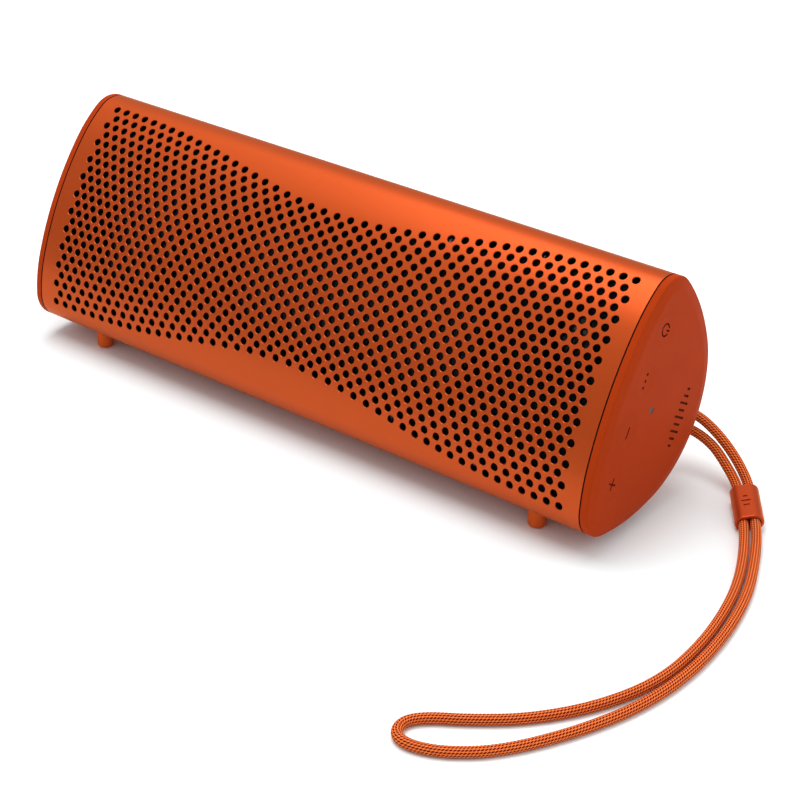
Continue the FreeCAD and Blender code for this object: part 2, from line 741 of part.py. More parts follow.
def wire_grommet():
    grommet = rod(GROMMET_R, (65.4, WIRE_Y, WIRE_Z), (68.2, WIRE_Y, WIRE_Z))
    for dz in WIRE_PAIR:
        grommet = grommet.cut(rod(WIRE_R, (60, WIRE_Y, WIRE_Z + dz), (72, WIRE_Y, WIRE_Z + dz)))
    return grommet


def battery_wires():
    wires = []
    for dz in WIRE_PAIR:
        wires.append(rod(WIRE_R, (-30.1, WIRE_Y, WIRE_Z + dz), (71.0, WIRE_Y, WIRE_Z + dz)))
    return Part.makeCompound(wires)


def electronics_carrier():
    """A short tube of the body's section that holds the boards beside the acoustic box."""
    left = BULKHEAD_X + ENCLOSURE_WALL + 0.3
    tube = section_tube(INNER_INSET, INNER_INSET + CARRIER_WALL, left, CARRIER_RIGHT)
    tube = behind(tube, BAFFLE_BACK)
    tube = tube.cut(port_shape(7.2, 4.4, 40, 60))
    ledges = box(left, 92, 31.2, 33.2, 21.0, 40).fuse(box(left, 92, 31.2, 33.2, -40, -23.2))
    ledges = ledges.common(section_bar(INNER_INSET + 0.5, left, 92))
    return tube.fuse(ledges).cut(eyelet_shape(3.2, 6.2, 40, 60)).removeSplitter()


MAIN_Y0 = 29.6
MAIN_Y1 = 31.2
CHARGE_Y0 = 37.6
CHARGE_Y1 = 38.8


def main_board():
    return box(71.0, 92.0, MAIN_Y0, MAIN_Y1, -24.5, 24.5)


def board_spacers():
    posts = []
    for x in (73.5, 86.5):
        for z in (-10.5, 10.5):
            posts.append(disc(1.8, x, z, MAIN_Y1, CHARGE_Y0))
    return Part.makeCompound(posts)


def board_screws():
    solids = []
    for x in (73.5, 86.5):
        for z in (-10.5, 10.5):
            head = disc(1.7, x, z, CHARGE_Y1, CHARGE_Y1 + 0.9)
            solids.append(head.cut(box(x - 1.2, x + 1.2, CHARGE_Y1 + 0.5, CHARGE_Y1 + 1, z - 0.2, z + 0.2)))
    return Part.makeCompound(solids)


def charge_board():
    return box(71.0, 88.5, CHARGE_Y0, CHARGE_Y1, -12.5, 12.5)


def amplifier_chip():
    chip = box(74, 83, MAIN_Y0 - 1.3, MAIN_Y0, -16, -7)
    fins = [box(74 + step * 1.5, 74.8 + step * 1.5, MAIN_Y0 - 4.3, MAIN_Y0 - 1.3, -16, -7) for step in range(7)]
    return chip.multiFuse(fins).common(box(74, 83, 0, 60, -16, -7)).removeSplitter()


def bluetooth_module():
    can = box(73, 87, MAIN_Y0 - 2.2, MAIN_Y0, 0, 12)
    return can.makeFillet(0.5, [e for e in can.Edges if abs(e.Vertexes[0].Y - e.Vertexes[1].Y) > 1])


def filter_capacitors():
    solids = []
    for x in (75.5, 83.0):
        solids.append(disc(3.0, x, 19.0, MAIN_Y0 - 7.5, MAIN_Y0))
    return Part.makeCompound(solids)


def usb_receptacle():
    """The steel shell of the charging socket, open to the back."""
    shell = port_socket(4.47, 1.63, CHARGE_Y1, 46.3)
    return shell.cut(port_socket(4.17, 1.33, CHARGE_Y1 + 0.6, 50))


def port_socket(half_x, half_z, y0, y1):
    return racetrack_plate(half_z, half_x - half_z, PORT_X, y0, y1)


def usb_contact_tongue():
    return box(PORT_X - 3.3, PORT_X + 3.3, CHARGE_Y1 + 0.6, 44.8, -0.35, 0.35)


def port_bezel():
    """A lining for the recess round the socket, flush with the sleeve."""
    cup = port_shape(7.0, 4.2, 44.6, 60).cut(port_shape(6.4, 3.6, 45.6, 61))
    cup = cup.cut(port_socket(4.5, 1.66, 40, 50))
    return cup.common(section_bar(0.15, 50, 100)).removeSplitter()


def key_board_cable():
    """A flat flexible cable from the main board to the board behind the keys."""
    first = box(92.0, 95.0, 30.0, 30.3, -6, 6)
    second = box(95.0, 95.3, 26.0, 30.3, -6, 6)
    third = box(95.3, BOARD_X0, 26.0, 26.3, -6, 6)
    return first.fuse(second).fuse(third).removeSplitter()


# ---- Strap -----------------------------------------------------------------------------------------

def strap_eyelet():
    """A metal plate with two bores that the strands leave through."""
    plate = eyelet_shape(3.0, 6.0, 45.5, 60).common(section_bar(-0.3, 50, 100))
    for z in STRAND_HEIGHTS:
        plate = plate.cut(disc(STRAP_R, EYELET_X, z, 40, 60))
    return plate


def strap_end_crimp():
    return box(EYELET_X - 2.6, EYELET_X + 2.6, 44.3, 45.5, -6.2, 4.3)


def strap_path(route):
    """Straight runs joined by the largest tangent arcs that the runs allow."""
    points = [Vector(*p) for p in route]
    edges = []
    here = points[0]
    for before, corner, after in zip(points, points[1:], points[2:]):
        incoming = (corner - before).normalize()
        outgoing = (after - corner).normalize()
        turn = incoming.getAngle(outgoing)
        reach = 0.45 * min((corner - before).Length, (after - corner).Length)
        radius = reach / math.tan(turn / 2)
        start = corner - incoming * reach
        end = corner + outgoing * reach
        towards = (outgoing - incoming).normalize()
        sag = radius * (1 / math.cos(turn / 2) - 1)
        edges.append(Part.LineSegment(here, start).toShape())
        edges.append(Part.Arc(start, corner + towards * sag, end).toShape())
        here = end
    edges.append(Part.LineSegment(here, points[-1]).toShape())
    return Part.Wire(edges)


def strap_cord():
    path = strap_path(STRAP_ROUTE)
    first = Vector(*STRAP_ROUTE[0])
    along = Vector(*STRAP_ROUTE[1]) - first
    profile = Part.Wire([Part.Circle(first, along, STRAP_R).toShape()])
    print("strap length %.1f" % path.Length)
    return path.makePipeShell([profile], True, True)


def slider_stadium(radius, length):
    """A bar with a racetrack section round both strands, centred on the slider."""
    thick = SLIDER_ALONG.cross(SLIDER_ACROSS).normalize()
    start = SLIDER_CENTRE - SLIDER_ALONG * (length / 2)
    left = start - SLIDER_ACROSS * STRAND_OFFSET
    right = start + SLIDER_ACROSS * STRAND_OFFSET
    edges = [Part.LineSegment(left + thick * radius, right + thick * radius).toShape(),
             Part.Arc(right + thick * radius, right + SLIDER_ACROSS * radius,
                      right - thick * radius).toShape(),
             Part.LineSegment(right - thick * radius, left - thick * radius).toShape(),
             Part.Arc(left - thick * radius, left - SLIDER_ACROSS * radius,
                      left + thick * radius).toShape()]
    return Part.Face(Part.Wire(edges)).extrude(SLIDER_ALONG * length)


def strap_slider():
    """The sleeve that slides along both strands, marked with three short bars."""
    body = slider_stadium(SLIDER_R, SLIDER_LENGTH)
    ends = [e for e in body.Edges if abs((e.CenterOfMass - SLIDER_CENTRE).dot(SLIDER_ALONG)) > 7]
    body = body.makeFillet(0.35, ends)
    body = body.cut(slider_stadium(SLIDER_BORE_R, SLIDER_LENGTH + 2))
    thick = SLIDER_ACROSS.cross(SLIDER_ALONG).normalize()
    up = thick if thick.z > 0 else thick * -1
    for step, half in ((-2.0, 0.7), (0.0, 1.3), (2.0, 0.9)):
        middle = SLIDER_CENTRE + SLIDER_ALONG * step + up * (SLIDER_R + 1.0 - 0.25)
        mark = Part.makeBox(2 * half, 0.7, 2.0, Vector(-half, -0.35, -1.0))
        turn = FreeCAD.Rotation(SLIDER_ACROSS, SLIDER_ALONG, up, "ZXY")
        mark.Placement = FreeCAD.Placement(middle, turn)
        body = body.cut(mark)
    return body


# ---- Write every piece ----------------------------------------------------------------------------

BODY_PIECES = {
    "sleeve_front": sleeve_front,
    "sleeve_back": sleeve_back,
    "control_end_cap": control_end_cap,
    "plain_end_cap": plain_end_cap,
    "end_gaskets": end_gaskets,
    "control_board": control_board,
    "tact_switches": tact_switches,
    "status_led": status_led,
    "status_light_pipe": status_light_pipe,
    "speaker_baffle": lambda: speaker_baffle().cut(woofer_screw_holes()),
    "baffle_gasket": baffle_gasket,
    "acoustic_enclosure": acoustic_enclosure,
    "baffle_screws": baffle_screws,
    "woofer_frame": lambda: woofer_frame().cut(woofer_screw_holes()),
    "woofer_surround": woofer_surround,
    "woofer_cone": woofer_cone,
    "woofer_dust_cap": woofer_dust_cap,
    "woofer_voice_coil": woofer_voice_coil,
    "woofer_spider": woofer_spider,
    "woofer_pole_plate": woofer_pole_plate,
    "woofer_magnet": woofer_magnet,
    "woofer_yoke_cup": woofer_yoke_cup,
    "woofer_screws": woofer_screws,
    "tweeter_faceplate": tweeter_faceplate,
    "tweeter_dome": tweeter_dome,
    "tweeter_suspension": tweeter_suspension,
    "tweeter_voice_coil": tweeter_voice_coil,
    "tweeter_magnet": tweeter_magnet,
    "tweeter_yoke": tweeter_yoke,
    "radiator_frame": radiator_frame,
    "radiator_surround": radiator_surround,
    "radiator_plate": radiator_plate,
    "radiator_weight": radiator_weight,
    "battery_cells": battery_cells,
    "battery_holder": battery_holder,
    "battery_protection_board": battery_protection_board,
    "battery_wires": battery_wires,
    "wire_grommet": wire_grommet,
    "electronics_carrier": electronics_carrier,
    "main_board": main_board,
    "board_spacers": board_spacers,
    "board_screws": board_screws,
    "charge_board": charge_board,
    "amplifier_chip": amplifier_chip,
    "bluetooth_module": bluetooth_module,
    "filter_capacitors": filter_capacitors,
    "usb_receptacle": usb_receptacle,
    "usb_contact_tongue": usb_contact_tongue,
    "port_bezel": port_bezel,
    "key_board_cable": key_board_cable,
    "strap_eyelet": strap_eyelet,
    "strap_end_crimp": strap_end_crimp,
}


def write(name, shape):
    count = len(shape.Solids)
    print("%-26s solids %d valid %s volume %.1f" % (name, count, shape.isValid(), shape.Volume))
    shape.exportStep("parts/%s.step" % name)


def main():
    os.makedirs("parts", exist_ok=True)
    for name, build in BODY_PIECES.items():
        write(name, seat(build()))
    for name in KEY_PLACES:
        write(name, seat(key_piece(name)))
    for name, y in FOOT_ROWS.items():
        write(name, Part.makeCompound([foot_piece(x, y) for x in (-FOOT_X, FOOT_X)]))
    write("strap_cord", strap_cord())
    write("strap_slider", strap_slider())


main()
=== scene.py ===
"""Portable bluetooth speaker: a perforated anodised sleeve, two end caps and a braided wrist strap.

Shapes are worked out in millimetres in the body frame (x along the body, depth back from the face,
height up the face) and turned into the row frame, in metres, by to_row(). The strap and its slider
are given in millimetres in the row frame.
"""
import json
import math

import bpy
import numpy as np
from mathutils import Matrix, Vector
from mathutils.geometry import delaunay_2d_cdt


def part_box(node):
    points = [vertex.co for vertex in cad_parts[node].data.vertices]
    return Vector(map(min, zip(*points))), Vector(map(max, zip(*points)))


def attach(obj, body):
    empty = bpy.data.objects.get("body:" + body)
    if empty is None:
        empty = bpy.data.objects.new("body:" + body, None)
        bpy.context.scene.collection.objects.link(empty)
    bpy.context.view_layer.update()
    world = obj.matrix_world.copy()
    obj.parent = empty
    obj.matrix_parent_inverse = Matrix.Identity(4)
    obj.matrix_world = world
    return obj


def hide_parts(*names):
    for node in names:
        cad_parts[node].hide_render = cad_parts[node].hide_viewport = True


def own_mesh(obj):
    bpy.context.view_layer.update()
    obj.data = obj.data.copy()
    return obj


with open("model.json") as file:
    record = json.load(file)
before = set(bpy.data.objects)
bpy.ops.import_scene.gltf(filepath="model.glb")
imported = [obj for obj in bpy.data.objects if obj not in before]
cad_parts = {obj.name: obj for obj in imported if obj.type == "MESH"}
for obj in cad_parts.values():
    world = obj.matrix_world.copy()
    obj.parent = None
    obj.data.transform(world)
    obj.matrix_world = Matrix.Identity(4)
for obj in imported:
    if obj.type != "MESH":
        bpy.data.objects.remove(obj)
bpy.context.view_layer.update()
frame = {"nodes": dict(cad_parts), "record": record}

MM = 0.001

# ---- Driving dimensions, in millimetres ----------------------------------------------------------

LEAN = math.radians(30.7)
FACE_Y = -18.75
FACE_Z = 46.2
SECTION_ARCS = ((103.2, 10.9), (46.5, 16.1), (9.9, 80.7), (62.4, 24.2))

SLEEVE_HALF = 104.3
SLEEVE_WALL = 1.5
SLEEVE_EDGE = 0.12          # bevel at the sleeve's ends
SEAM_X = 104.5
CAP_SIDE_X = 106.3
CAP_SHOULDER_R = 0.55
CAP_FACE_X = 107.5
CAP_FACE_INSET = 3.4
CAP_BORDER_INSET = 3.9      # ring on the flat face that the openings are drawn inside
CAP_EDGE = 0.12             # bevel at the cap's seam
SPIGOT_X = 100.5
SPIGOT_INSETS = (1.7, 3.1)

SHADED_BANDS = 6             # bands of the cap, from its inside to its seam, painted near-black as shade in the seam
CAP_SIDES = 288
SHOULDER_TURN = math.radians(77.4)
SHOULDER_STEPS = 8
SLOPE_SHARES = (0.1, 0.5, 0.9)
FACE_ROUND = 0.15           # narrow ring that keeps the slope's shading off the flat face
SHARP = math.radians(28)    # edges of the caps and keys that turn by more than this stay crisp

HOLE_R = 1.16
HOLE_SIDES = 20
RIM = 0.14                  # chamfer round each hole
ROWS_EACH_SIDE = 11
HALF_COLUMNS = 44
PATTERN_HALF_LENGTH = 97.68
COLUMN_SWELL = 8.35
COLUMN_BOW = 4.875
COLUMN_RIPPLE = 0.578
WAIST_HALF_HEIGHT = 22.756
END_GAIN = 10.259
SPREAD_SHIFT = 0.115
ROW_CROWD = 0.0306

LENGTH_POINTS = 61          # plain points along the sleeve
GIRTH_POINTS = 241          # and round it
HOLE_CLEARANCE = 3.1        # from a hole's centre to the nearest plain point
OPENING_CLEARANCE = 1.0     # from the box round an opening in the back
OPENING_SIDES = 48
END_REACH = 1e-6            # points this near the sleeve's edge are on it

PORT_X = 76.0
PORT_SLOT = (2.8, 4.2)      # half its straight run and its radius
EYELET_X = 88.0
EYELET_HEIGHT = -0.95
EYELET_SLOT = (3.0, 3.0)

KEY_HOLE_R = 4.55
KEY_R = 4.53
KEY_DIMPLE = 0.12           # depth of the keys' dished faces
KEY_SIDES = 72
KEY_RINGS = 6               # steps from the key's middle to its edge
RING_POINTS = 6             # plain points that each step adds to a ring of them
MOST_RING_POINTS = 24
ICON_CLEARANCE = 0.3        # from an icon's outline to the nearest plain point
FLANGE_X = (103.75, 104.45)
FLANGE_R = 5.3
STEM_X = 103.4
STEM_R = 1.5
ICON_SINK = 0.3
STROKE = 0.25               # half the width of the icons' strokes
STROKE_SIDES = 12
POWER_R = 2.0               # outer radius of the power icon's ring
POWER_GAP = 0.75            # half the opening in that ring
POWER_ARC_POINTS = 33
POWER_BAR = (1.3, 0.7)      # middle and half the straight run of the bar in that opening
DOT_R = 0.45
DOT_SIDES = 16
DOT_PITCH = 1.95
MINUS_HALF = 1.6
PLUS_HALF = 1.85
LIGHT_HOLE_R = 1.0
LIGHT_SIDES = 32
OPENING_EDGE = 0.02         # bevel round the cap's openings
BAR_DEPTH = 38.4
BAR_PITCH = 2.1
BAR_HEIGHTS = (1.8, 3.0, 4.8, 3.6, 5.4, 3.6, 4.8, 3.0, 1.8)
BAR_R = 0.35
BAR_SIDES = 20
BAR_SINK = 0.3

STRAP_R = 1.5
SLIDER_CENTRE = Vector((129.0, 18.4, 3.3))
SLIDER_ALONG = Vector((0.592, -0.803, -0.07)).normalized()
SLIDER_ACROSS = Vector((0.798, 0.572, 0.189))
STRAND_OFFSET = 1.6
SLIDER_RUN = 11.5
INNER_RUN = -0.24           # a point on the run, about as far in from its back end as the strap's
                            # next point lies beyond that end


# ---- Body frame and the section's outline --------------------------------------------------------

def to_row(x, depth, height):
    """Points of the body frame, in millimetres, as points of the row frame, in metres."""
    x, depth, height = np.broadcast_arrays(x, depth, height)
    y = depth * math.cos(LEAN) + height * math.sin(LEAN) + FACE_Y
    z = height * math.cos(LEAN) - depth * math.sin(LEAN) + FACE_Z
    return np.stack([x, y, z], -1) * MM


def turned(x, depth, height):
    """A direction of the body frame in the row frame."""
    return to_row(x, depth, height) / MM - np.array([0.0, FACE_Y, FACE_Z])


def section_arcs():
    """Centre's depth and height, radius, first and last angle of each arc of the upper half."""
    arcs = []
    centre = last = SECTION_ARCS[0][0]
    rise = angle = 0.0
    for radius, turn in SECTION_ARCS:
        centre -= (last - radius) * math.cos(angle)
        rise += (last - radius) * math.sin(angle)
        arcs.append((centre, rise, radius, angle, angle + math.radians(turn)))
        angle += math.radians(turn)
        last = radius
    back = last + rise / math.sin(angle)
    centre -= (last - back) * math.cos(angle)
    arcs.append((centre, 0.0, back, angle, math.pi))
    return np.array(arcs)


ARCS = section_arcs()
ARC_STARTS = np.r_[0.0, np.cumsum(ARCS[:, 2] * (ARCS[:, 4] - ARCS[:, 3]))]
HALF_GIRTH = ARC_STARTS[-1]
BACK_R = ARCS[-1][2]


def outline(girth):
    """Depth and height of the outline at a length round it from the face's middle, and the way out."""
    wrapped = (np.asarray(girth, float) + HALF_GIRTH) % (2 * HALF_GIRTH) - HALF_GIRTH
    side = np.where(wrapped < 0, -1.0, 1.0)
    number = np.searchsorted(ARC_STARTS, np.abs(wrapped), side="right") - 1
    number = np.clip(number, 0, len(ARCS) - 1)
    arc = ARCS[number]
    angle = arc[..., 3] + (np.abs(wrapped) - ARC_STARTS[number]) / arc[..., 2]
    out_depth = -np.cos(angle)
    out_height = side * np.sin(angle)
    depth = arc[..., 0] + arc[..., 2] * out_depth
    height = side * arc[..., 1] + arc[..., 2] * out_height
    return depth, height, out_depth, out_height


def skin(x, girth, inset=0.0):
    depth, height, out_depth, out_height = outline(girth)
    return to_row(x, depth - inset * out_depth, height - inset * out_height)


def outward(girth):
    _, _, out_depth, out_height = outline(girth)
    return turned(0.0, out_depth, out_height)


def upward(girth):
    """The direction in which the length round the outline grows."""
    _, _, out_depth, out_height = outline(girth)
    return turned(0.0, out_height, -out_depth)


def back_girth(height):
    """Length round the outline of a height on the back arc."""
    return HALF_GIRTH - BACK_R * np.arcsin(height / BACK_R)


# ---- Mesh helpers --------------------------------------------------------------------------------

class Shell:
    """Points, faces with a material number each and, where given, a normal for each corner."""

    def __init__(self):
        self.points = []
        self.faces = []
        self.shades = []
        self.normals = []
        self.count = 0
        self.shade = 0

    def add(self, points):
        points = np.asarray(points).reshape(-1, 3)
        self.points.append(points)
        self.count += len(points)
        return np.arange(self.count - len(points), self.count)

    def cover(self, faces, normals=None):
        self.faces += np.asarray(faces).tolist()
        self.shades += [self.shade] * len(faces)
        if normals is not None:
            self.normals.append(np.asarray(normals).reshape(-1, 3))

    def bridge(self, first, second, first_normals=None, second_normals=None):
        """Quads from one closed ring of points to the next."""
        after = np.roll(np.arange(len(first)), -1)
        faces = np.stack([first, first[after], second[after], second], 1)
        normals = None
        if first_normals is not None:
            normals = np.stack([first_normals, first_normals[after],
                                second_normals[after], second_normals], 1)
        self.cover(faces, normals)

    def mesh(self, name):
        mesh = bpy.data.meshes.new(name)
        mesh.from_pydata(np.concatenate(self.points).tolist(), [], self.faces)
        mesh.polygons.foreach_set("use_smooth", [True] * len(mesh.polygons))
        mesh.polygons.foreach_set("material_index", self.shades)
        if self.normals:
            mesh.normals_split_custom_set(np.concatenate(self.normals).tolist())
        return mesh


def piece(name, mesh, body, materials, slot, *replaced):
    """A finished piece: it rides on a body and may stand for CAD nodes."""
    made = bpy.data.objects.new(name, mesh)
    bpy.context.scene.collection.objects.link(made)
    for material in materials:
        made.data.materials.append(material)
    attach(made, body)
    if replaced:
        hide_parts(*replaced)
    return made


def racetrack(centre, straight, radius, sides):
    """A closed outline: a circle's points pushed apart by half the straight runs. Counterclockwise."""
    angle = 2 * np.pi * (np.arange(sides) + 0.5) / sides
    ring = np.stack([np.cos(angle), np.sin(angle)], 1)
    return np.asarray(centre) + ring * radius + np.sign(ring) * np.asarray(straight)


def inside(points, ring):
    """Which points lie inside a closed outline."""
    x, y = points[:, 0], points[:, 1]
    within = np.full(len(points), False)
    for start, end in zip(ring, np.roll(ring, -1, 0)):
        if start[1] != end[1]:
            crossing = start[0] + (y - start[1]) * (end[0] - start[0]) / (end[1] - start[1])
            within ^= ((start[1] > y) != (end[1] > y)) & (x < crossing)
    return within


def numbered(groups):
    """The numbers that the points of each group have once the groups are joined."""
    counts = [len(group) for group in groups]
    return np.split(np.arange(sum(counts)), np.cumsum(counts)[:-1])


INSIDE_ONLY = 1             # the kind of triangulation that stops at the border
SAME_POINT = 1e-7           # points closer than this, in millimetres, are one


def triangles_between(points, loops):
    """Counterclockwise triangles over the points, open inside every loop but the first."""
    edges = [(int(loop[i - 1]), int(loop[i])) for loop in loops for i in range(len(loop))]
    owner = np.full(len(points), -1)
    for number, loop in enumerate(loops):
        owner[loop] = number
    made = delaunay_2d_cdt([Vector(p) for p in points.tolist()], edges, [], INSIDE_ONLY, SAME_POINT)
    source = np.array([origin[0] for origin in made[3]])
    faces = source[np.array(made[2])]
    owners = owner[faces]
    shared = np.where((owners == owners[:, :1]).all(1), owners[:, 0], 0)
    kept = np.full(len(faces), True)
    order = np.argsort(shared, kind="stable")
    for group in np.split(order, np.flatnonzero(np.diff(shared[order])) + 1):
        number = shared[group[0]]
        if number > 0:
            kept[group] = ~inside(points[faces[group]].mean(1), points[loops[number]])
    return faces[kept]


# ---- Perforated sleeve ---------------------------------------------------------------------------

def hole_places():
    """Distance along the body and length up the face of every hole."""
    places = []
    for row in range(-ROWS_EACH_SIDE, ROWS_EACH_SIDE + 1):
        w = row / ROWS_EACH_SIDE
        for column in range(-HALF_COLUMNS, HALF_COLUMNS + 1):
            if (row + column) % 2 == 0:
                continue
            u = abs(column) / HALF_COLUMNS
            x = PATTERN_HALF_LENGTH * u + (COLUMN_SWELL - COLUMN_BOW * w * w) * math.sin(math.pi * u)
            x += COLUMN_RIPPLE * math.sin(2 * math.pi * u)
            spread = u + SPREAD_SHIFT * math.sin(math.pi * u)
            half = WAIST_HALF_HEIGHT + END_GAIN * (1 - math.cos(math.pi * spread)) / 2
            places.append((math.copysign(x, column), w * half * (1 + ROW_CROWD * (w * w - 1))))
    return np.array(places)


def sleeve_openings(grow):
    """Outlines, along the body and round it, of the holes and of the two openings in the back."""
    loops = [racetrack(place, (0, 0), HOLE_R + grow, HOLE_SIDES) for place in hole_places()]
    backs = (((PORT_X, 0.0), (PORT_SLOT[0], 0.0), PORT_SLOT[1]),
             ((EYELET_X, EYELET_HEIGHT), (0.0, EYELET_SLOT[0]), EYELET_SLOT[1]))
    for centre, straight, radius in backs:
        loop = racetrack(centre, straight, radius + grow, OPENING_SIDES)[::-1]
        loops.append(np.stack([loop[:, 0], back_girth(loop[:, 1])], 1))
    return loops


def sleeve_mesh():
    edge_x = SLEEVE_HALF - SLEEVE_EDGE
    start = -HALF_GIRTH / 2
    across = np.linspace(-edge_x, edge_x, LENGTH_POINTS)
    around = np.linspace(start, start + 2 * HALF_GIRTH, GIRTH_POINTS)
    outer_loops = sleeve_openings(RIM)
    inner_loops = sleeve_openings(0.0)
    holes = hole_places()
    grid = np.stack(np.meshgrid(across[1:-1], around[1:-1]), -1).reshape(-1, 2)
    away = np.full(len(grid), True)
    for centre in holes:
        away &= ((grid - centre) ** 2).sum(1) > HOLE_CLEARANCE ** 2
    for loop in outer_loops[len(holes):]:
        low_corner, high_corner = loop.min(0) - OPENING_CLEARANCE, loop.max(0) + OPENING_CLEARANCE
        away &= ~((grid > low_corner) & (grid < high_corner)).all(1)
    grid = grid[away]

    low = np.stack([across, np.full(len(across), around[0])], 1)
    high = np.stack([across, np.full(len(across), around[-1])], 1)
    left = np.stack([np.full(len(around) - 2, -edge_x), around[1:-1]], 1)
    right = np.stack([np.full(len(around) - 2, edge_x), around[1:-1]], 1)
    groups = [low, high, left, right, grid, *outer_loops]
    flat = np.concatenate(groups)
    low_at, high_at, left_at, right_at, _, *loops_at = numbered(groups)
    border = np.concatenate([low_at, right_at, high_at[::-1], left_at[::-1]])
    faces = triangles_between(flat, [border, *loops_at])

    # the lowest and highest rows of points are the same line on the sleeve
    weld = np.arange(len(flat))
    weld[high_at] = low_at
    faces = weld[faces]

    shell = Shell()
    out = outward(flat[:, 1])
    top = shell.add(skin(flat[:, 0], flat[:, 1]))
    shell.cover(top[faces], out[faces])
    at_end = np.abs(flat[:, 0]) > edge_x - END_REACH
    under_x = np.where(at_end, np.sign(flat[:, 0]) * SLEEVE_HALF, flat[:, 0])
    under_flat = np.stack([under_x, flat[:, 1]], 1)
    for at, loop in zip(loops_at, inner_loops):
        under_flat[at] = loop
    under = shell.add(skin(under_flat[:, 0], under_flat[:, 1], SLEEVE_WALL))
    # the inner skin is painted near-black as shade
    shell.shade = 1
    shell.cover(under[faces[:, ::-1]], -out[faces[:, ::-1]])

    for at, outer, inner in zip(loops_at, outer_loops, inner_loops):
        middle = inner.mean(0)
        inward = middle - inner
        inward /= np.linalg.norm(inward, axis=1)[:, None]
        towards = inward[:, :1] * np.array([1.0, 0, 0]) + inward[:, 1:] * upward(inner[:, 1])
        rim_normal = outward(inner[:, 1]) + towards
        rim_normal /= np.linalg.norm(rim_normal, axis=1)[:, None]
        lip = shell.add(skin(inner[:, 0], inner[:, 1], RIM))
        shell.shade = 0
        shell.bridge(top[at], lip, rim_normal, rim_normal)
        # the holes' walls are painted near-black as shade
        shell.shade = 1
        shell.bridge(lip, under[at], towards, towards)

    for side, at in ((1, right_at), (-1, left_at)):
        corner = low_at[-1 if side > 0 else 0]
        ring = np.r_[corner, at]
        girth = flat[ring, 1]
        end = shell.add(skin(side * SLEEVE_HALF, girth, SLEEVE_EDGE))
        flat_normal = np.tile([float(side), 0, 0], (len(ring), 1))
        bevel_normal = (outward(girth) + flat_normal) / math.sqrt(2)
        step = -1 if side > 0 else 1
        # each end's bevel and flat are painted near-black as shade, so the seam to the cap shows as a
        # dark line
        shell.shade = 1
        shell.bridge(top[ring][::step], end[::step], bevel_normal[::step], bevel_normal[::step])
        shell.bridge(end[::step], under[ring][::step], flat_normal[::step], flat_normal[::step])
    return shell.mesh("body_sleeve_skin")


# ---- End caps ------------------------------------------------------------------------------------

def cap_profile():
    """Place along the body and inset of each ring of the cap, from its inside round to its face."""
    rings = [(SEAM_X, CAP_BORDER_INSET), (SEAM_X, SPIGOT_INSETS[1]), (SPIGOT_X, SPIGOT_INSETS[1]),
             (SPIGOT_X, SPIGOT_INSETS[0]), (SEAM_X, SPIGOT_INSETS[0]), (SEAM_X, CAP_EDGE),
             (SEAM_X + CAP_EDGE, 0.0)]
    for step in range(SHOULDER_STEPS + 1):
        turn = SHOULDER_TURN * step / SHOULDER_STEPS
        rings.append((CAP_SIDE_X + CAP_SHOULDER_R * math.sin(turn),
                      CAP_SHOULDER_R * (1 - math.cos(turn))))
    start_x, start_inset = rings[-1]
    for share in SLOPE_SHARES:
        rings.append((start_x + (CAP_FACE_X - start_x) * share,
                      start_inset + (CAP_FACE_INSET - start_inset) * share))
    rings += [(CAP_FACE_X, CAP_FACE_INSET + FACE_ROUND), (CAP_FACE_X, CAP_BORDER_INSET)]
    return rings


def centre_of(node):
    """Depth and height, in the body frame, of a round node's axis."""
    low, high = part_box(node)
    middle = (low + high) / 2 / MM
    y, z = middle.y - FACE_Y, middle.z - FACE_Z
    return (y * math.cos(LEAN) - z * math.sin(LEAN), y * math.sin(LEAN) + z * math.cos(LEAN))


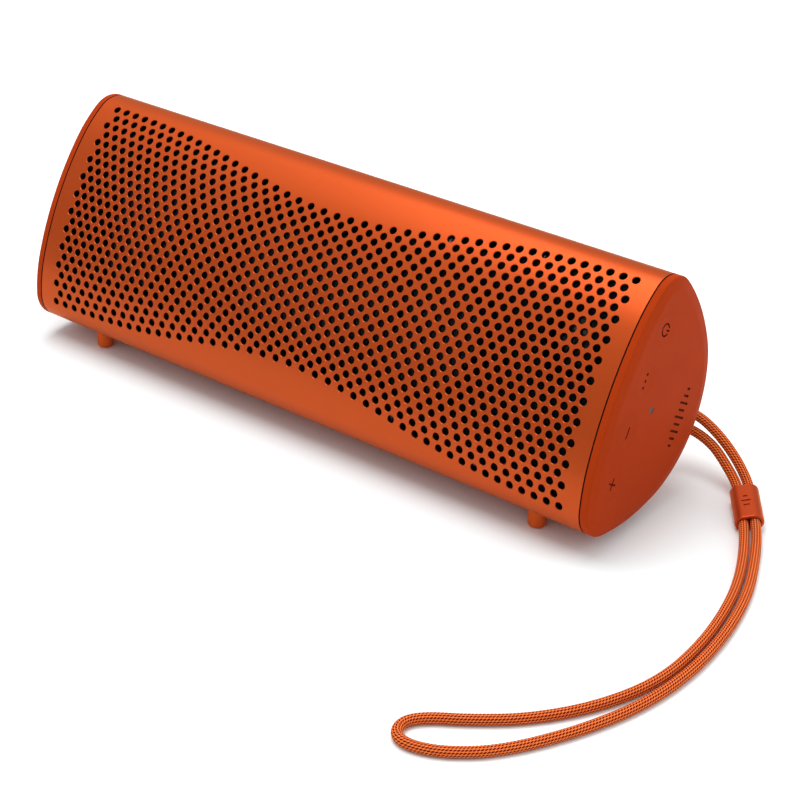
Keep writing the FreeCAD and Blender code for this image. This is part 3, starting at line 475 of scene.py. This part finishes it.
def cap_mesh(side):
    """The cap at one end. Only the one at +X has keys, a light and a row of bars."""
    girth = np.linspace(0, 2 * HALF_GIRTH, CAP_SIDES, endpoint=False)
    shell = Shell()
    rings = []
    for x, inset in cap_profile():
        rings.append(shell.add(skin(x, girth, inset)))
    for number, (first, second) in enumerate(zip(rings, rings[1:])):
        # the bands inside the cap and at its seam are painted near-black as shade
        shell.shade = int(number < SHADED_BANDS)
        shell.bridge(second, first)
    shell.shade = 0

    depth, height, out_depth, out_height = outline(girth)
    border = np.stack([depth - CAP_BORDER_INSET * out_depth, height - CAP_BORDER_INSET * out_height], 1)
    through, bars = [], []
    if side > 0:
        through = [(centre_of(node), (0, 0), KEY_HOLE_R, KEY_SIDES) for node in KEY_ICONS]
        through.append((centre_of("status_light_pipe"), (0, 0), LIGHT_HOLE_R, LIGHT_SIDES))
        lowest = -BAR_PITCH * (len(BAR_HEIGHTS) - 1) / 2
        bars = [((BAR_DEPTH, lowest + place * BAR_PITCH), (tall / 2 - BAR_R, 0), BAR_R, BAR_SIDES)
                for place, tall in enumerate(BAR_HEIGHTS)]

    def layer(x, openings, grow, outer):
        """Triangles across the cap at x, inside a ring that is already there."""
        loops = [racetrack(centre, straight, radius + grow, sides)
                 for centre, straight, radius, sides in openings]
        groups = [border, *loops]
        flat = np.concatenate(groups)
        at = numbered(groups)
        faces = triangles_between(flat, at)
        inner = flat[len(border):]
        points = np.r_[outer, shell.add(to_row(x, inner[:, 0], inner[:, 1]))] if len(inner) else outer
        return points[faces], [points[numbers] for numbers in at[1:]]

    face, tops = layer(CAP_FACE_X, through + bars, OPENING_EDGE, rings[-1])
    shell.cover(face)
    back, ends = layer(SEAM_X, through, 0.0, rings[0])
    shell.cover(back[:, ::-1])
    for number, (centre, straight, radius, sides) in enumerate(through + bars):
        loop = racetrack(centre, straight, radius, sides)
        lip = shell.add(to_row(CAP_FACE_X - OPENING_EDGE, loop[:, 0], loop[:, 1]))
        shell.bridge(tops[number], lip)
        if number < len(through):
            shell.bridge(lip, ends[number])
        else:
            base = shell.add(to_row(CAP_FACE_X - BAR_SINK, loop[:, 0], loop[:, 1]))
            # the bars' walls and floors are painted dark as shade in the recess
            shell.shade = 2
            shell.bridge(lip, base)
            shell.cover([base])
            shell.shade = 0
    mesh = shell.mesh("end_cap")
    if side < 0:
        mesh.transform(Matrix.Scale(-1, 4, (1, 0, 0)))
        mesh.flip_normals()
    mesh.set_sharp_from_angle(angle=SHARP)
    return mesh


# ---- Keys ----------------------------------------------------------------------------------------

def open_ring(outer, inner, gap):
    """A ring seen as one closed outline, open by twice the gap towards the back."""
    first, second = math.asin(gap / outer), math.asin(gap / inner)
    far = np.linspace(first, 2 * math.pi - first, POWER_ARC_POINTS)
    near = np.linspace(2 * math.pi - second, second, POWER_ARC_POINTS)
    return np.concatenate([np.stack([np.cos(far), np.sin(far)], 1) * outer,
                           np.stack([np.cos(near), np.sin(near)], 1) * inner])


def plus_outline(half, wide):
    corner = [(wide, wide), (wide, half), (-wide, half)]
    turns = [np.array([[0, 1], [-1, 0]]), np.array([[-1, 0], [0, -1]]), np.array([[0, -1], [1, 0]])]
    arms = [np.array(corner)] + [np.array(corner) @ turn for turn in turns]
    return np.concatenate(arms)


# Outlines, as depth and height from the key's middle, of what is sunk in each key.
KEY_ICONS = {
    "power_key": [open_ring(POWER_R, POWER_R - 2 * STROKE, POWER_GAP),
                  racetrack((POWER_BAR[0], 0), (POWER_BAR[1], 0), STROKE, STROKE_SIDES)],
    "source_key": [racetrack((0, step), (0, 0), DOT_R, DOT_SIDES)
                   for step in (-DOT_PITCH, 0, DOT_PITCH)],
    "volume_down_key": [racetrack((0, 0), (0, MINUS_HALF), STROKE, STROKE_SIDES)],
    "volume_up_key": [plus_outline(PLUS_HALF, STROKE)],
}


def key_mesh(node, icon):
    """A round key with a dished face and a sunk icon, its keeper flange and its stem."""
    depth, height = centre_of(node)
    angle = 2 * np.pi * np.arange(KEY_SIDES) / KEY_SIDES
    circle = np.stack([np.cos(angle), np.sin(angle)], 1)
    plain = []
    for ring in range(1, KEY_RINGS):
        every = KEY_SIDES // min(RING_POINTS * ring, MOST_RING_POINTS)
        inner = circle[::every] * (KEY_R * ring / KEY_RINGS)
        for loop in icon:
            gap = np.linalg.norm(loop[None] - inner[:, None], axis=2).min(1)
            inner = inner[(gap > ICON_CLEARANCE) & ~inside(inner, loop)]
        plain.append(inner)
    groups = [circle * KEY_R, np.concatenate(plain), *icon]
    flat = np.concatenate(groups)
    border, _, *loops_at = numbered(groups)
    faces = triangles_between(flat, [border, *loops_at])

    reach = (flat ** 2).sum(1) / KEY_R ** 2
    top_x = CAP_FACE_X - KEY_DIMPLE * (1 - reach)
    shell = Shell()
    top = shell.add(to_row(top_x, depth + flat[:, 0], height + flat[:, 1]))
    shell.cover(top[faces])
    rings = [top[border]]
    for x, radius in ((FLANGE_X[1], KEY_R), (FLANGE_X[1], FLANGE_R), (FLANGE_X[0], FLANGE_R),
                      (FLANGE_X[0], STEM_R), (STEM_X, STEM_R)):
        around = circle * radius
        rings.append(shell.add(to_row(x, depth + around[:, 0], height + around[:, 1])))
    for first, second in zip(rings, rings[1:]):
        shell.bridge(second, first)
    shell.cover([rings[-1][::-1]])
    # the icons' walls and floors are painted dark as shade in the recess
    shell.shade = 1
    for at in loops_at:
        base = shell.add(to_row(top_x[at] - ICON_SINK, depth + flat[at, 0], height + flat[at, 1]))
        shell.bridge(top[at], base)
        shell.cover([base])
    mesh = shell.mesh(node + "_skin")
    mesh.set_sharp_from_angle(angle=SHARP)
    return mesh


# ---- Strap ---------------------------------------------------------------------------------------

def slider_run(side, share):
    """Centre of a strand at a share of half its straight run through the slider."""
    across, along = SLIDER_ACROSS * (side * STRAND_OFFSET), SLIDER_ALONG * (share * SLIDER_RUN)
    return tuple(SLIDER_CENTRE + across + along)


FLOOR = STRAP_R             # height of the strap's middle where it lies on the ground
STRAP_ROUTE = (
    (88.0, 21.25, 24.4), (88.0, 28.75, 19.9), (94.6, 34.2, 17.0), (102.5, 34.5, 16.2),
    (109.5, 33.6, 13.4), (116.4, 32.2, 9.0),
    slider_run(1, -1), slider_run(1, INNER_RUN), slider_run(1, 1),
    (143.0, -1.2, FLOOR), (149.6, -16.4, FLOOR), (153.9, -34.6, FLOOR), (155.4, -54.2, FLOOR),
    (153.0, -73.2, FLOOR), (146.1, -91.4, FLOOR), (136.2, -108.2, FLOOR), (126.3, -116.9, FLOOR),
    (118.0, -120.3, FLOOR), (112.6, -119.5, FLOOR), (110.6, -114.6, FLOOR), (114.0, -109.6, FLOOR),
    (123.2, -103.7, FLOOR), (134.4, -94.4, FLOOR), (144.7, -80.0, FLOOR), (151.2, -62.5, FLOOR),
    (151.5, -43.5, FLOOR), (148.4, -24.6, FLOOR), (143.2, -8.7, FLOOR),
    slider_run(-1, 1), slider_run(-1, INNER_RUN), slider_run(-1, -1),
    (113.9, 29.9, 8.0), (109.3, 31.4, 10.5), (102.6, 32.6, 12.0), (94.5, 31.6, 12.8),
    (88.0, 25.95, 15.4), (88.0, 18.55, 19.9),
)

WALES = 12                  # ribs round the cord
WALE_STEPS = 4
STITCH = 0.92               # pitch of the stitches along the cord
STITCH_STEPS = 4
RIB = 0.10                  # height of the ribs
RIB_FULLNESS = 0.6          # below 1, a rib is rounder on top than a cosine
KNOT = 0.05                 # height of the stitches on them
STITCH_SLANT = 0.80         # share of the pitch that a stitch climbs across its rib
NO_STEP = 1e-9              # in metres


def strap_line():
    """Points along the strap's smooth centre line, in metres, a quarter of a stitch apart."""
    curve = bpy.data.curves.new("strap_route", "CURVE")
    curve.dimensions = "3D"
    curve.resolution_u = 48
    spline = curve.splines.new("NURBS")
    spline.points.add(len(STRAP_ROUTE) - 1)
    for point, place in zip(spline.points, STRAP_ROUTE):
        point.co = (*(Vector(place) * MM), 1)
    spline.order_u = 3
    spline.use_endpoint_u = True
    holder = bpy.data.objects.new("strap_route", curve)
    traced = bpy.data.meshes.new_from_object(holder)
    points = np.array([v.co for v in traced.vertices], float)
    bpy.data.objects.remove(holder)
    bpy.data.meshes.remove(traced)
    bpy.data.curves.remove(curve)
    steps = np.linalg.norm(np.diff(points, axis=0), axis=1)
    points = points[np.r_[True, steps > NO_STEP]]
    along = np.r_[0.0, np.cumsum(np.linalg.norm(np.diff(points, axis=0), axis=1))]
    rings = int(along[-1] / (STITCH / STITCH_STEPS * MM))
    at = np.linspace(0, along[-1], rings)
    return np.stack([np.interp(at, along, points[:, k]) for k in range(3)], 1)


def carried_frames(points):
    """Two directions across the line at each point, carried along it without twist."""
    ahead = np.gradient(points, axis=0)
    ahead /= np.linalg.norm(ahead, axis=1)[:, None]
    sideways = np.cross(ahead[0], [0.0, 0, 1.0])
    sideways /= np.linalg.norm(sideways)
    rows = [sideways]
    for now in ahead[1:]:
        sideways = rows[-1] - now * (rows[-1] @ now)
        rows.append(sideways / np.linalg.norm(sideways))
    sideways = np.array(rows)
    return sideways, np.cross(ahead, sideways)


def strap_mesh(points):
    """A braided cord: ribs that run along it, each crossed by slanted stitches."""
    around = WALES * WALE_STEPS
    angle = 2 * np.pi * np.arange(around) / around
    wale = np.arange(around) / WALE_STEPS
    across = wale % 1 - 0.5
    row = np.arange(len(points))[:, None] / STITCH_STEPS
    phase = row + 0.5 * (np.floor(wale) % 2) + STITCH_SLANT * across
    rib = np.cos(np.pi * across) ** RIB_FULLNESS
    height = RIB * (rib - 1) + KNOT * (np.cos(2 * np.pi * phase) - 1) * rib
    radius = (STRAP_R + height) * MM
    sideways, upwards = carried_frames(points)
    ring = (np.cos(angle)[None, :, None] * sideways[:, None]
            + np.sin(angle)[None, :, None] * upwards[:, None])
    shell = Shell()
    rows = shell.add(points[:, None] + ring * radius[..., None]).reshape(len(points), around)
    for first, second in zip(rows, rows[1:]):
        shell.bridge(first, second)
    shell.cover([rows[0][::-1]])
    shell.cover([rows[-1]])
    mesh = shell.mesh("strap_cord_braid")
    layer = mesh.uv_layers.new(name="braid")
    corner = np.zeros(len(mesh.loops), int)
    mesh.loops.foreach_get("vertex_index", corner)
    u = (corner % around) / around
    v = (corner // around) / STITCH_STEPS
    # the faces that close the ring end at a whole turn, not back at its start
    side_corners = (len(rows) - 1) * around * 4
    wide = u[:side_corners].reshape(-1, 4)
    wraps = (wide.max(1) - wide.min(1)) > 0.5
    wide[wraps] = np.where(wide[wraps] < 0.5, wide[wraps] + 1, wide[wraps])
    layer.data.foreach_set("uv", np.stack([u, v], 1).astype(np.float32).ravel())
    return mesh


# ---- Soft rings ----------------------------------------------------------------------------------

def soft_ring(node, body):
    """A rubber ring, copied from its node, that rides with its diaphragm.
    """
    mesh = frame["nodes"][node].data.copy()
    mesh.materials.clear()
    made = piece(node + "_roll", mesh, body, [FINISH[SLOT_OF[node]]], SLOT_OF[node], node)
    out = turned(0.0, -1.0, 0.0)
    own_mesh(made)


# ---- Materials -----------------------------------------------------------------------------------

GRAIN_HEIGHT = 0.00005      # fine relief of the surfaces, in metres
SHEEN = (1.0, 0.68, 0.42)   # tint of the anodised pieces' highlights
WARM = (1.0, 0.35, 0.15)    # and of the rubber ones'

YARN_DARK = (0.15, 0.003, 0.001, 1)
YARN_BRIGHT = (0.96, 0.21, 0.050, 1)
YARN_SHADE = (0.72, 0.68, 0.64, 1)      # what the darkest fuzz multiplies them by
DARK_EDGE = (0.62, 0.95)    # where the dark oval of a stitch ends and the bright yarn begins
OVAL_ACROSS = 2.5           # how tight the oval is across the rib
OVAL_ALONG = 2.2            # and along it
FUZZ_HEIGHT = 0.00008       # in metres


def new_material(name, roughness, metallic=0.0, specular=0.5):
    """A node material, its shader and two helpers: one adds a node, one joins two sockets."""
    material = bpy.data.materials.new(name)
    material.use_nodes = True
    nodes, links = material.node_tree.nodes, material.node_tree.links
    shader = nodes["Principled BSDF"]
    shader.inputs["Roughness"].default_value = roughness
    shader.inputs["Metallic"].default_value = metallic
    shader.inputs["Specular IOR Level"].default_value = specular

    def add(kind, **values):
        node = nodes.new(kind)
        for key, value in values.items():
            if hasattr(node, key):
                setattr(node, key, value)
            else:
                node.inputs[key.replace("_", " ").title()].default_value = value
        return node

    return material, shader, add, links.new


def surface(name, colour, roughness, metallic=0.0, specular=0.5, tint=(1, 1, 1), coat=(0.0, 0.03),
            mottle=0.06, mottle_scale=60.0, grain_scale=4000.0, grain=0.1, rough_spread=0.06):
    """A finish whose colour, roughness and fine relief vary over the piece.

    The coat is given by its weight and its roughness.
    """
    material, shader, add, join = new_material(name, roughness, metallic, specular)
    shader.inputs["Specular Tint"].default_value = (*tint, 1)
    shader.inputs["Coat Weight"].default_value = coat[0]
    shader.inputs["Coat Roughness"].default_value = coat[1]
    place = add("ShaderNodeTexCoord")
    broad = add("ShaderNodeTexNoise", Scale=mottle_scale, Detail=3.0, Roughness=0.55)
    fine = add("ShaderNodeTexNoise", Scale=grain_scale, Detail=2.0, Roughness=0.6)
    join(place.outputs["Object"], broad.inputs["Vector"])
    join(place.outputs["Object"], fine.inputs["Vector"])

    ramp = add("ShaderNodeValToRGB")
    ramp.color_ramp.elements[0].position = 0.3
    ramp.color_ramp.elements[1].position = 0.7
    ramp.color_ramp.elements[0].color = (*[c * (1 - mottle) for c in colour], 1)
    ramp.color_ramp.elements[1].color = (*[min(1.0, c * (1 + mottle)) for c in colour], 1)
    join(broad.outputs["Fac"], ramp.inputs["Fac"])
    join(ramp.outputs["Color"], shader.inputs["Base Color"])

    rough = add("ShaderNodeMapRange")
    rough.inputs["To Min"].default_value = max(0.02, roughness - rough_spread)
    rough.inputs["To Max"].default_value = min(1.0, roughness + rough_spread)
    join(fine.outputs["Fac"], rough.inputs["Value"])
    join(rough.outputs["Result"], shader.inputs["Roughness"])

    bump = add("ShaderNodeBump", Strength=grain, Distance=GRAIN_HEIGHT)
    join(fine.outputs["Fac"], bump.inputs["Height"])
    join(bump.outputs["Normal"], shader.inputs["Normal"])
    return material


def anodised(name, colour, roughness=0.42):
    """Bead-blasted, dyed aluminium with a satin sheen."""
    return surface(name, colour, roughness=roughness, metallic=0.75, specular=0.4, tint=SHEEN,
                   coat=(0.12, 0.32), mottle=0.03, mottle_scale=18.0, grain_scale=5200.0, grain=0.12,
                   rough_spread=0.05)


def rubbery(name, colour, roughness=0.62):
    """Soft-touch moulded rubber."""
    return surface(name, colour, roughness=roughness, specular=0.03, tint=WARM, mottle=0.05,
                   mottle_scale=40.0, grain_scale=3600.0, grain=0.22, rough_spread=0.08)


def braid_material():
    """Bright yarn in ribs, with a dark slanted oval in each stitch."""
    material, shader, add, join = new_material("braid_yarn", 0.75, specular=0.05)
    shader.inputs["Sheen Weight"].default_value = 0.05
    shader.inputs["Sheen Roughness"].default_value = 0.4
    uv = add("ShaderNodeUVMap", uv_map="braid")
    split = add("ShaderNodeSeparateXYZ")
    join(uv.outputs["UV"], split.inputs["Vector"])

    def maths(operation, first, second=None):
        """The socket that holds the result of a sum on sockets or numbers."""
        node = add("ShaderNodeMath", operation=operation)
        for socket, value in zip(node.inputs, (first, second)):
            if value is None:
                continue
            if isinstance(value, (int, float)):
                socket.default_value = value
            else:
                join(value, socket)
        return node.outputs["Value"]

    wale = maths("MULTIPLY", split.outputs["X"], WALES)
    across = maths("SUBTRACT", maths("FRACT", wale), 0.5)
    odd = maths("MULTIPLY", maths("MODULO", maths("FLOOR", wale), 2.0), 0.5)
    phase = maths("ADD", maths("ADD", split.outputs["Y"], odd), maths("MULTIPLY", across, STITCH_SLANT))
    along = maths("SUBTRACT", maths("FRACT", phase), 0.5)
    # a point's distance from the middle of its stitch, squared
    reach = maths("ADD", maths("POWER", maths("MULTIPLY", across, OVAL_ACROSS), 2.0),
                  maths("POWER", maths("MULTIPLY", along, OVAL_ALONG), 2.0))
    dots = add("ShaderNodeValToRGB")
    dots.color_ramp.elements[0].position, dots.color_ramp.elements[1].position = DARK_EDGE
    dots.color_ramp.elements[0].color = YARN_DARK
    dots.color_ramp.elements[1].color = YARN_BRIGHT
    join(reach, dots.inputs["Fac"])
    place = add("ShaderNodeTexCoord")
    fuzz = add("ShaderNodeTexNoise", Scale=2600.0, Detail=3.0)
    join(place.outputs["Object"], fuzz.inputs["Vector"])
    tint = add("ShaderNodeMix", data_type="RGBA", blend_type="MULTIPLY")
    tint.inputs["Factor"].default_value = 1.0
    shade = add("ShaderNodeValToRGB")
    shade.color_ramp.elements[0].position = 0.25
    shade.color_ramp.elements[0].color = YARN_SHADE
    shade.color_ramp.elements[1].position = 0.7
    join(fuzz.outputs["Fac"], shade.inputs["Fac"])
    join(dots.outputs["Color"], tint.inputs["A"])
    join(shade.outputs["Color"], tint.inputs["B"])
    join(tint.outputs["Result"], shader.inputs["Base Color"])
    bump = add("ShaderNodeBump", Strength=0.5, Distance=FUZZ_HEIGHT)
    join(fuzz.outputs["Fac"], bump.inputs["Height"])
    join(bump.outputs["Normal"], shader.inputs["Normal"])
    return material


def painted_shade_inside():
    """Near-black painted shade on the inside of the sleeve, on the walls of its holes and in the seams
    at the caps.
    """
    return surface("sleeve_inside_painted_shade", (0.006, 0.005, 0.005), 0.9, specular=0.05, mottle=0.1)


def recess_shade():
    """Dark red-brown painted shade in the keys' sunk icons and in the cap's sunk bars."""
    return surface("recess_painted_shade", (0.10, 0.010, 0.004), 0.8, specular=0.05, mottle=0.1)


def finishes():
    """One material for each slot of the record."""
    return {
        "orange_aluminium": anodised("orange_anodised", (0.51, 0.066, 0.008)),
        "orange_slider": anodised("orange_slider_anodised", (0.50, 0.054, 0.009), 0.38),
        "orange_cap": rubbery("orange_cap_paint", (0.39, 0.038, 0.005), 0.55),
        "orange_key": rubbery("orange_key_rubber", (0.39, 0.038, 0.005), 0.55),
        "orange_foot": rubbery("orange_foot_rubber", (0.62, 0.10, 0.02)),
        "orange_braid": braid_material(),
        "seal_black": rubbery("black_seal", (0.012, 0.011, 0.010), 0.7),
        "black_moulding": rubbery("black_moulded_plastic", (0.022, 0.022, 0.024), 0.5),
        "grey_lens": surface("grey_lens_plastic", (0.042, 0.042, 0.040), 0.4, specular=0.2,
                             mottle=0.04),
        "green_board": surface("green_solder_mask", (0.02, 0.16, 0.06), 0.35, mottle=0.12,
                               mottle_scale=400.0),
        "black_chip": surface("black_epoxy", (0.02, 0.02, 0.021), 0.5, mottle=0.1),
        "shield_steel": surface("tinned_steel", (0.72, 0.72, 0.70), 0.3, metallic=1.0, mottle=0.05),
        "screw_steel": surface("zinc_steel", (0.55, 0.56, 0.58), 0.28, metallic=1.0, mottle=0.06),
        "cone_fibre": surface("pressed_paper", (0.035, 0.033, 0.032), 0.75, mottle=0.2,
                              mottle_scale=900.0, grain=0.4),
        "surround_rubber": rubbery("surround_rubber", (0.016, 0.016, 0.016), 0.6),
        "spider_cloth": surface("spider_cloth", (0.45, 0.33, 0.12), 0.85, mottle=0.15,
                                mottle_scale=1500.0, grain=0.5),
        # the silver dome is painted dark as shade, so it glints only faintly through the holes
        "dome_silver": surface("silver_dome_painted_shade", (0.04, 0.04, 0.042), 0.35, metallic=1.0, mottle=0.04),
        "magnet_nickel": surface("nickel_plate", (0.62, 0.60, 0.55), 0.22, metallic=1.0, mottle=0.04),
        "motor_steel": surface("motor_steel", (0.40, 0.41, 0.43), 0.4, metallic=1.0, mottle=0.08),
        "coil_copper": surface("enamelled_copper", (0.72, 0.30, 0.14), 0.35, metallic=1.0),
        "cell_wrap": surface("blue_shrink_wrap", (0.02, 0.10, 0.42), 0.32, mottle=0.08),
        "wire_jacket": surface("red_wire_jacket", (0.45, 0.02, 0.015), 0.4, mottle=0.08),
        "cable_film": surface("polyimide_film", (0.55, 0.24, 0.03), 0.3, mottle=0.08),
        "eyelet_metal": anodised("orange_eyelet_metal", (0.46, 0.055, 0.009)),
    }


# ---- Stage ---------------------------------------------------------------------------------------

FLOOR_REACH = 20.0          # half the floor's side, in metres


def pale_floor():
    """A wide, nearly white ground that is part of the stage and not of the speaker."""
    mesh = bpy.data.meshes.new("floor")
    reach = FLOOR_REACH
    mesh.from_pydata([(-reach, -reach, 0), (reach, -reach, 0), (reach, reach, 0), (-reach, reach, 0)],
                     [], [(0, 1, 2, 3)])
    floor = bpy.data.objects.new("floor", mesh)
    bpy.context.scene.collection.objects.link(floor)
    mesh.materials.append(surface("pale_floor", (0.91, 0.965, 0.972), 0.9, specular=0.1, mottle=0.004,
                                  mottle_scale=3.0, grain_scale=900.0, grain=0.02))


SKY_STRENGTH = 0.92
HORIZON_SHARE = 0.42        # brightness of the sky at the horizon against overhead
SKY_TURN = (math.radians(6), 0, 0)      # the sky's brightest part lies a little behind the body
# name, place, size across and along, power in watts
LIGHTS = (("overhead", (-0.2, 0.0, 1.1), (1.0, 0.7), 9.5),
          ("right_back", (1.1, 0.75, 0.65), (0.8, 0.8), 3.5))


def studio_light():
    """A sky that brightens upwards, and two area lights."""
    world = bpy.data.worlds.new("studio")
    bpy.context.scene.world = world
    world.use_nodes = True
    nodes, links = world.node_tree.nodes, world.node_tree.links
    nodes["Background"].inputs["Strength"].default_value = SKY_STRENGTH
    place = nodes.new("ShaderNodeTexCoord")
    split = nodes.new("ShaderNodeSeparateXYZ")
    ramp = nodes.new("ShaderNodeValToRGB")
    lean = nodes.new("ShaderNodeMapping")
    lean.vector_type = "VECTOR"
    lean.inputs["Rotation"].default_value = SKY_TURN
    links.new(place.outputs["Generated"], lean.inputs["Vector"])
    links.new(lean.outputs["Vector"], split.inputs["Vector"])
    links.new(split.outputs["Z"], ramp.inputs["Fac"])
    links.new(ramp.outputs["Color"], nodes["Background"].inputs["Color"])
    ramp.color_ramp.elements[0].color = (*[HORIZON_SHARE] * 3, 1)
    ramp.color_ramp.elements[1].color = (1, 1, 1, 1)
    for name, place, size, power in LIGHTS:
        data = bpy.data.lights.new(name, "AREA")
        data.shape = "RECTANGLE"
        data.size, data.size_y = size
        data.energy = power
        light = bpy.data.objects.new(name, data)
        light.location = place
        light.rotation_mode = "QUATERNION"
        light.rotation_quaternion = (-Vector(place)).to_track_quat("-Z", "Y")
        bpy.context.scene.collection.objects.link(light)


CAMERA_PLACE = (0.35436, -0.42242, 0.31634)
CAMERA_RIGHT = Vector((0.783676, 0.621169, 0.0))
CAMERA_BACK = Vector((0.538857, -0.679830, 0.497458))
CAMERA_LENS = 92.6
SENSOR_WIDTH = 36.0


def camera():
    """The point of view of the picture that the speaker was rebuilt from."""
    data = bpy.data.cameras.new("camera")
    data.lens = CAMERA_LENS
    data.sensor_width = SENSOR_WIDTH
    made = bpy.data.objects.new("camera", data)
    back = CAMERA_BACK.normalized()
    right = (CAMERA_RIGHT - back * CAMERA_RIGHT.dot(back)).normalized()
    up = back.cross(right)
    turn = Matrix((right, up, back)).transposed().to_4x4()
    made.matrix_world = Matrix.Translation(CAMERA_PLACE) @ turn
    bpy.context.scene.collection.objects.link(made)
    bpy.context.scene.camera = made


# ---- Build ---------------------------------------------------------------------------------------

FINISH = finishes()
# near-black painted shade for the sleeve's inside, its holes and the seams
INSIDE_SHADE = painted_shade_inside()
# dark red-brown painted shade for the sunk icons and bars
RECESS_SHADE = recess_shade()
SLOT_OF = {part["node"]: part["material_slot"] for part in frame["record"]["subparts"]}

camera()
pale_floor()
studio_light()
bpy.context.scene.view_settings.view_transform = "Standard"

for node, shown in frame["nodes"].items():
    shown.data.materials.clear()
    shown.data.materials.append(FINISH[SLOT_OF[node]])

line = strap_line()
strap = piece("strap_cord_braid", strap_mesh(line), "speaker", [FINISH["orange_braid"]],
              "orange_braid", "strap_cord")

piece("sleeve_skin", sleeve_mesh(), "speaker", [FINISH["orange_aluminium"], INSIDE_SHADE],
      "orange_aluminium", "sleeve_front", "sleeve_back")
CAP_PAINTS = [FINISH["orange_cap"], INSIDE_SHADE, RECESS_SHADE]
piece("control_cap_skin", cap_mesh(1), "speaker", CAP_PAINTS, "orange_cap", "control_end_cap")
piece("plain_cap_skin", cap_mesh(-1), "speaker", CAP_PAINTS, "orange_cap", "plain_end_cap")
for node, icon in KEY_ICONS.items():
    piece(node + "_skin", key_mesh(node, icon), node, [FINISH["orange_key"], RECESS_SHADE],
          "orange_key", node)

soft_ring("woofer_surround", "woofer_diaphragm")
soft_ring("tweeter_suspension", "tweeter_diaphragm")
